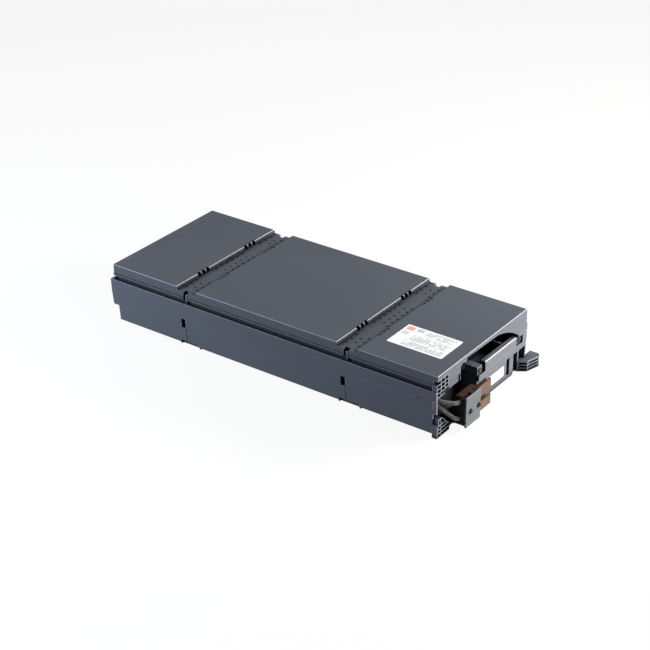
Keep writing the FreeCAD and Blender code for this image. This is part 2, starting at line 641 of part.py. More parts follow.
def vent_cuts():
    """Three staggered rows of round vents in each channel: a middle field and one each side."""
    cuts = []
    for start in CHANNEL_STARTS:
        for row, from_wall in enumerate(VENT_ROWS):
            staggered = row % 2
            middle_count = 5 if staggered else 6
            side_count = 2 if staggered else 3
            places = [(i - (middle_count - 1) / 2) * VENT_PITCH for i in range(middle_count)]
            for sign in (-1, 1):
                places += [sign * VENT_SIDE_X + (i - (side_count - 1) / 2) * VENT_PITCH
                           for i in range(side_count)]
            y = along(start + CHANNEL - from_wall)
            for x in places:
                cuts.append(vent(x, y))
    return cuts


def latch_cuts():
    """Notch through the channel floor and side wall, clear of the tray's snap tongue."""
    web_top = down(GROOVE_TOP + GROOVE_HEIGHT + LIP_HEIGHT) + WEB
    cuts = []
    for centre in LATCH_CENTRES:
        y0 = along(centre - LATCH_WIDTH / 2)
        y1 = y0 + LATCH_WIDTH
        upper = box(HALF - LATCH_DEPTH, HALF + 2, y0, y1, web_top, HEIGHT + 1)
        lower = box(SKIRT_OUTER, HALF + 2, y0, y1, down(SKIRT_BOTTOM + 1), web_top + 1)
        notch = fuse([upper, lower])
        cuts += [notch, mirror_x(notch)]
    return cuts


def front_opening():
    """Hand opening in the lid's front wall: stepped on the left, one long sweep on the right."""
    def at(point):
        return FreeCAD.Vector(point[0], along(-1), down(point[1]))

    points = [at(p) for p in FRONT_OPENING]
    end = at(FRONT_SWEEP_END)
    edges = [Part.LineSegment(a, b).toShape() for a, b in zip(points, points[1:])]
    edges.append(Part.Arc(points[-1], at(FRONT_SWEEP_MIDDLE), end).toShape())
    edges.append(Part.LineSegment(end, at((FRONT_SWEEP_END[0], OPENING_FOOT))).toShape())
    edges.append(Part.LineSegment(at((FRONT_SWEEP_END[0], OPENING_FOOT)), at((FRONT_OPENING[0][0], OPENING_FOOT))).toShape())
    edges.append(Part.LineSegment(at((FRONT_OPENING[0][0], OPENING_FOOT)), points[0]).toShape())
    return Part.Face(Part.Wire(edges)).extrude(FreeCAD.Vector(0, LID_WALL + 2, 0))


def score_lines():
    """Shallow lines scored in the lid: two sides of the rear plateau and a mark by the front corner."""
    deep = HEIGHT - SCORE_DEPTH
    over = HEIGHT + 1
    rear = LID_LENGTH - SCORE_INSET
    across = box(-SCORE_X, SCORE_X, along(rear - SCORE_WIDTH), along(rear), deep, over)
    side = box(SCORE_X - SCORE_WIDTH, SCORE_X, along(rear - SCORE_SIDE), along(rear), deep, over)
    mark = box(SCORE_MARK_X, SCORE_MARK_X + SCORE_WIDTH, along(SCORE_MARK_START),
               along(SCORE_MARK_START + SCORE_MARK_LENGTH), deep, over)
    return [fuse([across, side]), mark]


def lid_cheeks():
    """The skirt carried on past the recess to the front wall, a little shorter."""
    web_top = down(GROOVE_TOP + GROOVE_HEIGHT + LIP_HEIGHT) + WEB
    back = along(RECESS + TRAY_WALL + 1)
    right = box(SKIRT_INNER, SKIRT_OUTER, along(LID_WALL - 0.5), back, down(RIGHT_SKIRT), web_top)
    left = box(-SKIRT_OUTER, -SKIRT_INNER, along(POST_DEPTH + FIT), back, down(RIGHT_SKIRT), web_top)
    return [right, left]


def make_lid():
    body = lid_outside().cut(lid_inside())
    skirt = box(POST_RIGHT + FIT, HALF, along(0), along(LID_WALL), down(RIGHT_SKIRT), down(10))
    left_gap = box(POST_RIGHT - 1, FRONT_OPENING[1][0] - 0.001, along(-1), along(LID_WALL + 1),
                   down(RIGHT_SKIRT + 1), down(LEFT_SKIRT))
    tab = box(TAB_LEFT, TAB_RIGHT, along(LID_WALL - 1), along(LID_WALL + 1.5), down(TAB_BOTTOM), down(12))
    tab = round_edges(tab, TAB_RADIUS, lambda e: abs(e.BoundBox.ZMax - down(TAB_BOTTOM)) < 1e-6
                      and e.BoundBox.XLength < 1e-6)
    body = body.multiFuse([skirt])
    post = box(-HALF - 3, POST_RIGHT + FIT, along(-1), along(POST_DEPTH + FIT),
               down(POST_BOTTOM + 1), down(POST_TOP - FIT))
    cuts = [front_opening(), left_gap, post] + slot_cuts() + vent_cuts() + latch_cuts() + score_lines()
    body = body.cut(cuts[0].multiFuse(cuts[1:]))
    return fuse([body, tab] + lid_cheeks())


# ---------------------------------------------------------------- handle
HANDLE_LEFT = 5.4
HANDLE_RIGHT = HALF - 23.9
HANDLE_TOP = 30.0
HANDLE_DEPTH = 8.0
HANDLE_ROUND = 2.0
HANDLE_LUG_FRONT = 2.5
HANDLE_LUG_BACK = 9.0
HANDLE_SCREW_DROP = 38.0
HANDLE_SCREWS = (HANDLE_LEFT - 10.0, HANDLE_RIGHT + 10.4)
BOSS_WIDTH = 10.0
SCREW_RADIUS = 1.5
SCREW_HEAD_RADIUS = 3.1
SCREW_HEAD_HEIGHT = 1.8
SCREW_EDGE = 0.6
SCREW_LENGTH = 10.0


def make_handle():
    base = down(SHELF_TOP) + FIT
    bar = box(HANDLE_LEFT, HANDLE_RIGHT, along(0), along(HANDLE_DEPTH), base, down(HANDLE_TOP))
    bar = round_edges(bar, HANDLE_ROUND, lambda e: e.BoundBox.XLength > 20 and e.BoundBox.ZMin > base + 1)
    hollow = box(HANDLE_LEFT + 3, HANDLE_RIGHT - 3, along(LID_WALL), along(HANDLE_DEPTH + 1),
                 base - 1, down(HANDLE_TOP) - LID_WALL)
    bar = bar.cut(hollow)
    pieces = [bar]
    for centre in HANDLE_SCREWS:
        lug = box(centre - BOSS_WIDTH / 2, centre + BOSS_WIDTH / 2, along(HANDLE_LUG_FRONT),
                  along(HANDLE_LUG_BACK), base, down(LUG_TOP))
        inner = HANDLE_LEFT + 1 if centre < HANDLE_LEFT else HANDLE_RIGHT - 1
        link = box(centre, inner, along(HANDLE_LUG_BACK - LID_WALL - 1), along(HANDLE_LUG_BACK - 1), base,
                   down(LUG_TOP) - 1)
        pieces += [lug, link]
    whole = fuse(pieces)
    for centre in HANDLE_SCREWS:
        whole = whole.cut(rod((centre, along(HANDLE_LUG_FRONT - 1), down(HANDLE_SCREW_DROP)),
                              (centre, along(HANDLE_LUG_BACK + 1), down(HANDLE_SCREW_DROP)),
                              SCREW_RADIUS + FIT))
    return whole


def pan_screw(head_face, direction, length):
    """Pan-head screw: the head's seat is at head_face and the shank runs along direction."""
    start = FreeCAD.Vector(*head_face)
    way = FreeCAD.Vector(*direction)
    head = Part.makeCylinder(SCREW_HEAD_RADIUS, SCREW_HEAD_HEIGHT, start - way * SCREW_HEAD_HEIGHT, way)
    rim = [e for e in head.Edges if (e.CenterOfMass - (start - way * SCREW_HEAD_HEIGHT)).Length < 0.5]
    head = head.makeChamfer(SCREW_EDGE, rim[:1])
    shank = Part.makeCylinder(SCREW_RADIUS, length, start, way)
    return fuse([head, shank])


def make_handle_screws():
    screws = [pan_screw((x, along(HANDLE_LUG_FRONT), down(HANDLE_SCREW_DROP)), (0, 1, 0), SCREW_LENGTH)
              for x in HANDLE_SCREWS]
    return Part.makeCompound(screws)


# ---------------------------------------------------------------- power connector
COVER_FRONT = -20.0
COVER_THICK = 2.0
COVER_LEFT = 32.8 - HALF
COVER_RIGHT = COVER_LEFT + 32.5
COVER_TOP = 38.9
COVER_BOTTOM = 79.5
HOUSING_BACK = -2.0
HOUSING_TOP = 41.6
HOUSING_RIGHT = COVER_LEFT + 31.1
HOUSING_LEFT = COVER_LEFT + 0.8
FOOT_LENGTH = 24.0
FOOT_THICK = 3.2
FOOT_BOLT_X = COVER_LEFT + 10.2
FOOT_BOLT_Y = 12.0
COVER_SCREWS = ((COVER_LEFT + 9.7, 60.2), (COVER_LEFT + 28.2, 60.2))
BLADE_FRONT = -16.6
BLADE_THICK = 1.5
BLADE_TIP = COVER_LEFT + 61.3
UPPER_BLADE = (39.8, 55.0)
LOWER_BLADE = (62.2, 75.2)
BLADE_ROOT = 14.0
STRIP_FRONT = -12.4
STRIP_WIDTH = 8.4
STRIP_LEFT = COVER_LEFT + 2.7
STRIP_RIGHT = COVER_LEFT + 34.7
CABLE_RADIUS = 2.75


def connector_block():
    front = along(COVER_FRONT + COVER_THICK)
    body = box(HOUSING_LEFT, HOUSING_RIGHT, front, along(HOUSING_BACK), down(COVER_BOTTOM), down(HOUSING_TOP))
    body = round_edges(body, 1.0, lambda e: upright(e) and e.CenterOfMass.y > front + 1)
    notch = box(HOUSING_LEFT - 1, HOUSING_LEFT + 2.5, front - 1, along(HOUSING_BACK + 1),
                down(COVER_BOTTOM + 1), down(COVER_BOTTOM - 4))
    body = body.cut(notch)
    for index in range(4):
        y = front + 2.6 + index * 3.4
        body = body.cut(box(HOUSING_LEFT - 1, HOUSING_LEFT + 0.8, y, y + 1.2, down(COVER_BOTTOM) - 1,
                            down(HOUSING_TOP) + 1))
    return body


def connector_foot():
    """Foot that stands on the tray floor behind the block, with two gussets."""
    base = FLOOR + FIT
    back = along(HOUSING_BACK)
    foot = box(HOUSING_LEFT + 3, HOUSING_RIGHT - 3, back - 2, back + FOOT_LENGTH, base, base + FOOT_THICK)
    foot = foot.cut(box(HOUSING_LEFT, HOUSING_RIGHT, back - 3, back, 0, down(COVER_BOTTOM)))
    gussets = []
    for x in (HOUSING_LEFT + 3, HOUSING_RIGHT - 6.5):
        outline = [(back - 1, base + 1), (back + FOOT_LENGTH - 4, base + 1),
                   (back + FOOT_LENGTH - 4, base + FOOT_THICK + 1), (back + 2, base + 26), (back - 1, base + 26)]
        gussets.append(prism_x(outline, x, x + 2.5))
    return [foot] + gussets


def make_housing():
    body = fuse([connector_block()] + connector_foot())
    gap = FIT / 2
    for top, bottom in (UPPER_BLADE, LOWER_BLADE):
        pocket = box(HOUSING_RIGHT - BLADE_ROOT - gap, HOUSING_RIGHT + 1, along(BLADE_FRONT) - gap,
                     along(BLADE_FRONT + BLADE_THICK) + gap, down(bottom) - gap, down(top) + gap)
        leaf = box(HOUSING_RIGHT - BLADE_ROOT - gap, HOUSING_RIGHT + 1,
                   along(STRIP_FRONT) - gap, along(STRIP_FRONT + BLADE_THICK) + gap,
                   down(bottom) - gap, down(top) + gap)
        body = body.cut(pocket).cut(leaf)
    for x, drop in COVER_SCREWS:
        body = body.cut(rod((x, along(COVER_FRONT), down(drop)),
                            (x, along(COVER_FRONT + COVER_THICK + 8), down(drop)), SCREW_RADIUS + FIT))
    body = body.cut(rod((FOOT_BOLT_X, along(FOOT_BOLT_Y), 0), (FOOT_BOLT_X, along(FOOT_BOLT_Y), 20),
                        SCREW_RADIUS + FIT))
    for start, end in cable_sockets():
        body = body.cut(rod(start, end, CABLE_RADIUS + gap))
    return body


def make_cover():
    plate = box(COVER_LEFT, COVER_RIGHT, along(COVER_FRONT), along(COVER_FRONT + COVER_THICK) - 0.05,
                down(COVER_BOTTOM), down(COVER_TOP))
    plate = round_edges(plate, 0.4, lambda e: abs(e.CenterOfMass.y - along(COVER_FRONT)) < 1e-6)
    for x, drop in COVER_SCREWS:
        plate = plate.cut(rod((x, along(COVER_FRONT - 1), down(drop)),
                              (x, along(COVER_FRONT + COVER_THICK + 1), down(drop)), SCREW_RADIUS + FIT))
    return plate


def make_cover_screws():
    return Part.makeCompound([pan_screw((x, along(COVER_FRONT), down(drop)), (0, 1, 0), 7.0)
                              for x, drop in COVER_SCREWS])


def blade_pair(top, bottom):
    """Jaw of two copper leaves that grip the cabinet's contact bar."""
    root = HOUSING_RIGHT - BLADE_ROOT
    front = box(root, BLADE_TIP, along(BLADE_FRONT), along(BLADE_FRONT + BLADE_THICK), down(bottom), down(top))
    rear = box(root, BLADE_TIP - 4, along(STRIP_FRONT), along(STRIP_FRONT + BLADE_THICK), down(bottom),
               down(top))
    return front, rear


def make_upper_busbar():
    front, rear = blade_pair(*UPPER_BLADE)
    z1 = down(UPPER_BLADE[0])
    strip = box(STRIP_LEFT, STRIP_RIGHT, along(STRIP_FRONT), along(STRIP_FRONT + STRIP_WIDTH),
                z1 - BLADE_THICK, z1)
    bridge = box(HOUSING_RIGHT - BLADE_ROOT, HOUSING_RIGHT - BLADE_ROOT + 6, along(BLADE_FRONT),
                 along(STRIP_FRONT + 1), z1 - BLADE_THICK, z1)
    return fuse([front, rear, strip, bridge])


def make_lower_busbar():
    front, rear = blade_pair(*LOWER_BLADE)
    z0 = down(LOWER_BLADE[1])
    bridge = box(HOUSING_RIGHT + FIT, HOUSING_RIGHT + 6, along(BLADE_FRONT), along(STRIP_FRONT + 1), z0,
                 z0 + BLADE_THICK)
    return fuse([front, rear, bridge])


def make_foot_bolt():
    top = FLOOR + FIT + FOOT_THICK
    head = Part.makeCylinder(SCREW_HEAD_RADIUS, 2.4, FreeCAD.Vector(FOOT_BOLT_X, along(FOOT_BOLT_Y), top))
    shank = rod((FOOT_BOLT_X, along(FOOT_BOLT_Y), 0.5), (FOOT_BOLT_X, along(FOOT_BOLT_Y), top), SCREW_RADIUS)
    return fuse([head, shank])


# ---------------------------------------------------------------- sealed blocks
TAB_OFFSET = 32.0
TAB_RISE = 48.7
TAB_WIDTH = 6.35
TAB_THICK = 0.8
TAB_LENGTH = 6.3
SLEEVE_WIDTH = 8.2
SLEEVE_DEPTH = 7.4
SLEEVE_THICK = 7.0
SLEEVE_LIFT = 0.6
JUMPER_RADIUS = 2.2
TABS_TO_REAR = (True, False, True, False)
TAB_Z = BLOCK_FLOOR + TAB_RISE


def terminal_face(row):
    """Distance behind the front edge of the face that carries a row's tabs."""
    return ROW_STARTS[row] + (BLOCK_LENGTH if TABS_TO_REAR[row] else 0)


def toward(row):
    return 1 if TABS_TO_REAR[row] else -1


def tab_x(column, side):
    return COLUMN_STARTS[column] + BLOCK_WIDTH / 2 + side * TAB_OFFSET


def make_block(row, column):
    x0 = COLUMN_STARTS[column]
    y0 = ROW_STARTS[row]
    body = box(x0, x0 + BLOCK_WIDTH, along(y0), along(y0 + BLOCK_LENGTH), BLOCK_FLOOR,
               BLOCK_FLOOR + BLOCK_THICK)
    long_edges = [e for e in body.Edges if e.BoundBox.YLength > BLOCK_LENGTH / 2]
    body = body.makeChamfer(BLOCK_EDGE, long_edges)
    face = terminal_face(row)
    seam = face - toward(row) * BLOCK_COVER
    groove = box(x0 - 1, x0 + BLOCK_WIDTH + 1, along(seam - 0.4), along(seam + 0.4), 0, HEIGHT)
    core = box(x0 + 0.5, x0 + BLOCK_WIDTH - 0.5, along(seam - 1), along(seam + 1), BLOCK_FLOOR + 0.5,
               BLOCK_FLOOR + BLOCK_THICK - 0.5)
    return body.cut(groove.cut(core))


def make_terminal_tabs():
    tabs = []
    for row in range(len(ROW_STARTS)):
        face = terminal_face(row)
        for column in range(len(COLUMN_STARTS)):
            for side in (-1, 1):
                x = tab_x(column, side)
                tabs.append(box(x - TAB_WIDTH / 2, x + TAB_WIDTH / 2, along(face),
                                along(face + toward(row) * TAB_LENGTH), TAB_Z - TAB_THICK / 2,
                                TAB_Z + TAB_THICK / 2))
    return Part.makeCompound(tabs)


def wire_y(row):
    """Line, behind the front edge, on which a lead leaves a row's tabs sideways."""
    return terminal_face(row) + toward(row) * (SLEEVE_DEPTH / 2 + SLEEVE_LIFT)


def make_sleeve(row, column, side):
    """Push-on sleeve over one tab; its wire leaves sideways."""
    x = tab_x(column, side)
    near = terminal_face(row) + toward(row) * SLEEVE_LIFT
    far = near + toward(row) * SLEEVE_DEPTH
    body = box(x - SLEEVE_WIDTH / 2, x + SLEEVE_WIDTH / 2, along(near), along(far),
               TAB_Z - SLEEVE_THICK / 2, TAB_Z + SLEEVE_THICK / 2)
    slot = box(x - TAB_WIDTH / 2 - 0.2, x + TAB_WIDTH / 2 + 0.2, along(near - toward(row)),
               along(terminal_face(row) + toward(row) * (TAB_LENGTH + 0.3)), TAB_Z - TAB_THICK / 2 - 0.2,
               TAB_Z + TAB_THICK / 2 + 0.2)
    return body.cut(slot)


def make_sleeves():
    sleeves = [make_sleeve(row, column, side)
               for row in range(len(ROW_STARTS)) for column in range(len(COLUMN_STARTS))
               for side in (-1, 1)]
    return Part.makeCompound(sleeves)


# ---------------------------------------------------------------- cables and leads
def lead(points, radius, name):
    """Round lead along straight runs joined by tangent arcs, as large as the runs allow."""
    corners = [FreeCAD.Vector(*p) for p in points]
    edges = []
    start = corners[0]
    radii = []
    for before, corner, after in zip(corners, corners[1:], corners[2:]):
        into = (corner - before).normalize()
        out = (after - corner).normalize()
        turn = into.getAngle(out)
        shorter = min((corner - before).Length, (after - corner).Length)
        reach = 0.45 * shorter
        radii.append(round(reach / math.tan(turn / 2), 1))
        first = corner - into * reach
        last = corner + out * reach
        bend_radius = reach / math.tan(turn / 2)
        bisector = (out - into).normalize()
        centre = corner + bisector * (bend_radius / math.cos(turn / 2))
        middle = centre - bisector * bend_radius
        edges.append(Part.LineSegment(start, first).toShape())
        edges.append(Part.Arc(first, middle, last).toShape())
        start = last
    edges.append(Part.LineSegment(start, corners[-1]).toShape())
    path = Part.Wire(edges)
    way = (corners[1] - corners[0]).normalize()
    section = Part.Wire([Part.Circle(corners[0], way, radius).toShape()])
    tube = path.makePipeShell([section], True, False)
    share = tube.Volume / (math.pi * radius ** 2 * path.Length)
    print(name, "length", round(path.Length, 1), "radii", radii, "volume share", round(share, 4))
    return tube


PLUG_DEPTH = 6.0
PLUG_Y = -10.5
PLUG_RUN = 13.0
ENTRY_Y = 6.0
ENTRY_DROP = 4.5
TURN = 6.9
UPPER_PLUG_DROP = 45.6
LOWER_PLUG_DROP = 67.4
DUCT_X = COLUMN_STARTS[0] - 7.2
UPPER_DUCT_Z = 47.5
LOWER_DUCT_Z = 40.5
SLEEVE_GAP = 0.2


def at_wire(x, behind_front, z):
    return (x, along(behind_front), z)


def cable_sockets():
    """Start and end of the round socket that takes each main cable in the block's left side."""
    sockets = []
    for drop in (UPPER_PLUG_DROP, LOWER_PLUG_DROP):
        sockets.append((at_wire(HOUSING_LEFT - 1, PLUG_Y, down(drop)),
                        at_wire(HOUSING_LEFT + PLUG_DEPTH + FIT, PLUG_Y, down(drop))))
    return sockets


def duct_start(plug_drop, duct_z):
    """From the socket in the block, round the post and into the duct."""
    plug = HOUSING_LEFT + PLUG_DEPTH
    return [at_wire(plug, PLUG_Y, down(plug_drop)), at_wire(plug - PLUG_RUN, PLUG_Y, down(plug_drop)),
            at_wire(DUCT_X + 0.6, ENTRY_Y, duct_z - ENTRY_DROP), at_wire(DUCT_X, RECESS - 3, duct_z)]


def duct_end(row):
    """Out of the duct and across to the first block's tab in a row."""
    y = wire_y(row)
    x = tab_x(0, -1) - SLEEVE_WIDTH / 2 - SLEEVE_GAP
    return [at_wire(DUCT_X, y - TURN, TAB_Z - 1.7), at_wire(DUCT_X + TURN, y, TAB_Z), at_wire(x, y, TAB_Z)]


def make_positive_cable():
    points = duct_start(UPPER_PLUG_DROP, UPPER_DUCT_Z)
    middle = (RECESS + wire_y(0)) / 2
    points.append(at_wire(DUCT_X + 0.6, middle, UPPER_DUCT_Z + 0.5))
    return lead(points + duct_end(0), CABLE_RADIUS, "cable_positive")


def make_negative_cable():
    points = duct_start(LOWER_PLUG_DROP, LOWER_DUCT_Z)
    last = wire_y(3) - 5 * TURN
    for share in (0.25, 0.5, 0.75, 1.0):
        aside = 0.7 if share in (0.25, 0.75) else 0
        points.append(at_wire(DUCT_X + aside, RECESS + share * (last - RECESS), LOWER_DUCT_Z - aside + share))
    return lead(points + duct_end(3), CABLE_RADIUS, "cable_negative")


def side_jumper(row):
    """Short link between the two blocks of a row."""
    y = wire_y(row)
    x0 = tab_x(0, 1) + SLEEVE_WIDTH / 2 + SLEEVE_GAP
    x1 = tab_x(1, -1) - SLEEVE_WIDTH / 2 - SLEEVE_GAP
    return rod(at_wire(x0, y, TAB_Z), at_wire(x1, y, TAB_Z), JUMPER_RADIUS)


def gap_jumper(row):
    """Link straight across a terminal gap, between the right-hand blocks of two facing rows."""
    x = tab_x(1, 1)
    reach = SLEEVE_LIFT + SLEEVE_DEPTH + SLEEVE_GAP
    return rod(at_wire(x, terminal_face(row) + reach, TAB_Z),
               at_wire(x, terminal_face(row + 1) - reach, TAB_Z), JUMPER_RADIUS)


def duct_jumper():
    """Link from the second row to the third through the side duct."""
    x = tab_x(0, -1) - SLEEVE_WIDTH / 2 - SLEEVE_GAP
    y0 = wire_y(1)
    y1 = wire_y(2)
    points = [at_wire(x, y0, TAB_Z), at_wire(DUCT_X + TURN, y0, TAB_Z), at_wire(DUCT_X, y0 + TURN, TAB_Z - 1.5)]
    for share in (0.28, 0.5, 0.72):
        aside = 0.5 if share != 0.5 else 0
        points.append(at_wire(DUCT_X + aside, y0 + share * (y1 - y0), UPPER_DUCT_Z + 2 * aside))
    points += [at_wire(DUCT_X, y1 - TURN, TAB_Z - 1.5), at_wire(DUCT_X + TURN, y1, TAB_Z),
               at_wire(x, y1, TAB_Z)]
    return lead(points, JUMPER_RADIUS, "jumper in duct")


# ---------------------------------------------------------------- pads and labels
PAD_MARGIN = 12.0
PAD_INSET = 6.0
LABEL_THICK = 0.15
LID_LABEL = (-65.3, -15.5, 19.8, 97.6)
FRONT_LABEL = (22.0, 55.0, 60.5, 74.5)


def make_pad(y0, y1):
    top = down(LID_WALL) - FIT
    return box(COLUMN_STARTS[0] + PAD_INSET, COLUMN_STARTS[1] + BLOCK_WIDTH - PAD_INSET, along(y0), along(y1),
               BLOCK_FLOOR + BLOCK_THICK + FIT, top)


def make_lid_label():
    x0, x1, y0, y1 = LID_LABEL
    plate = box(x0, x1, along(y0), along(y1), HEIGHT, HEIGHT + LABEL_THICK)
    return round_edges(plate, 1.5, upright)


def make_front_label():
    x0, x1, top, bottom = FRONT_LABEL
    return box(x0, x1, along(PANEL_BACK - LABEL_THICK), along(PANEL_BACK), down(bottom), down(top))


# ---------------------------------------------------------------- every piece, one file each
def main():
    os.makedirs("parts", exist_ok=True)
    save("tray", make_tray())
    save("front_frame", make_front_frame())
    save("bulkhead", make_bulkhead())
    save("lid", make_lid())
    save("handle", make_handle())
    save("handle_screws", make_handle_screws())
    save("connector_housing", make_housing())
    save("connector_cover", make_cover())
    save("connector_screws", make_cover_screws())
    save("busbar_upper", make_upper_busbar())
    save("busbar_lower", make_lower_busbar())
    save("foot_bolt", make_foot_bolt())
    number = 0
    for row in range(len(ROW_STARTS)):
        for column in range(len(COLUMN_STARTS)):
            number += 1
            save("battery_block_%d" % number, make_block(row, column))
    save("terminal_tabs", make_terminal_tabs())
    save("terminal_sleeves", make_sleeves())
    save("cable_positive", make_positive_cable())
    save("cable_negative", make_negative_cable())
    save("jumper_lead_1", side_jumper(0))
    save("jumper_lead_2", gap_jumper(0))
    save("jumper_lead_3", side_jumper(1))
    save("jumper_lead_4", duct_jumper())
    save("jumper_lead_5", side_jumper(2))
    save("jumper_lead_6", gap_jumper(2))
    save("jumper_lead_7", side_jumper(3))
    save("foam_pad_front", make_pad(FIRST_ROW + PAD_MARGIN, FRONT_PANEL - PAD_MARGIN))
    save("foam_pad_middle", make_pad(ROW_STARTS[1] + PAD_MARGIN, CHANNEL_STARTS[1] - PAD_MARGIN))
    save("foam_pad_rear", make_pad(CHANNEL_STARTS[1] + CHANNEL + PAD_MARGIN, LID_LENGTH - 2 * PAD_MARGIN))
    save("lid_label", make_lid_label())
    save("front_label", make_front_label())


main()
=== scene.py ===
import json
import math
import bmesh
import bpy
from mathutils import Matrix, Vector


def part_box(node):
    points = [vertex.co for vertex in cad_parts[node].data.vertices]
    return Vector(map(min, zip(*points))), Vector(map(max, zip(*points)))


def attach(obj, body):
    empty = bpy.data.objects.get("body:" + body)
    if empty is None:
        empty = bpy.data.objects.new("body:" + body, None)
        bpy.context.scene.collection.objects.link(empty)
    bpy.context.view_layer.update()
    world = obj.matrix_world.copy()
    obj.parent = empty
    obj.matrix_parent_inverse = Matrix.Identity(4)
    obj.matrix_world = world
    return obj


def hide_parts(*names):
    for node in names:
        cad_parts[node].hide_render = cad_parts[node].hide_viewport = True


# Battery cartridge for a rack power supply: moulded tray and lid, pull handle, copper blade
# contact, cables and eight sealed blocks inside. Metres, +X right seen from the front, +Z up.
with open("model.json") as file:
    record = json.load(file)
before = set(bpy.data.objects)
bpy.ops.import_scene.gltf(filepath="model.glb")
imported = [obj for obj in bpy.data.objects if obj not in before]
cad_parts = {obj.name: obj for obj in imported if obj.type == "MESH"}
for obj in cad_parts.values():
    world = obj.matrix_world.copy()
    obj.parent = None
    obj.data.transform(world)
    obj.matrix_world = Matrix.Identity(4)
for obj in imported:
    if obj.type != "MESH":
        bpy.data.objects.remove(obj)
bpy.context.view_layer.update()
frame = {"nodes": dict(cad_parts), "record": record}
nodes = frame["nodes"]
scene = bpy.context.scene
MM = 0.001


# ---------------------------------------------------------------- shader building
MIX_INPUTS = (0, 6, 7)      # a Mix node's sockets for the factor and the two colours
MIX_RESULT = 2              # and for the mixed colour, since their names repeat
BEVEL_SAMPLES = 8
HOLLOW_SAMPLES = 6
SHARP_GAIN = 5.0            # how fast the turn over a sharp edge counts toward the painted edge highlight
ROUNDED_GAIN = 4.0          # and how fast a face that leans away from the axes does
PALEST = 0.95               # no channel of a shade goes above this


def tint(colour, factor):
    """A lighter or darker shade of a colour."""
    return tuple(min(channel * factor, PALEST) for channel in colour)


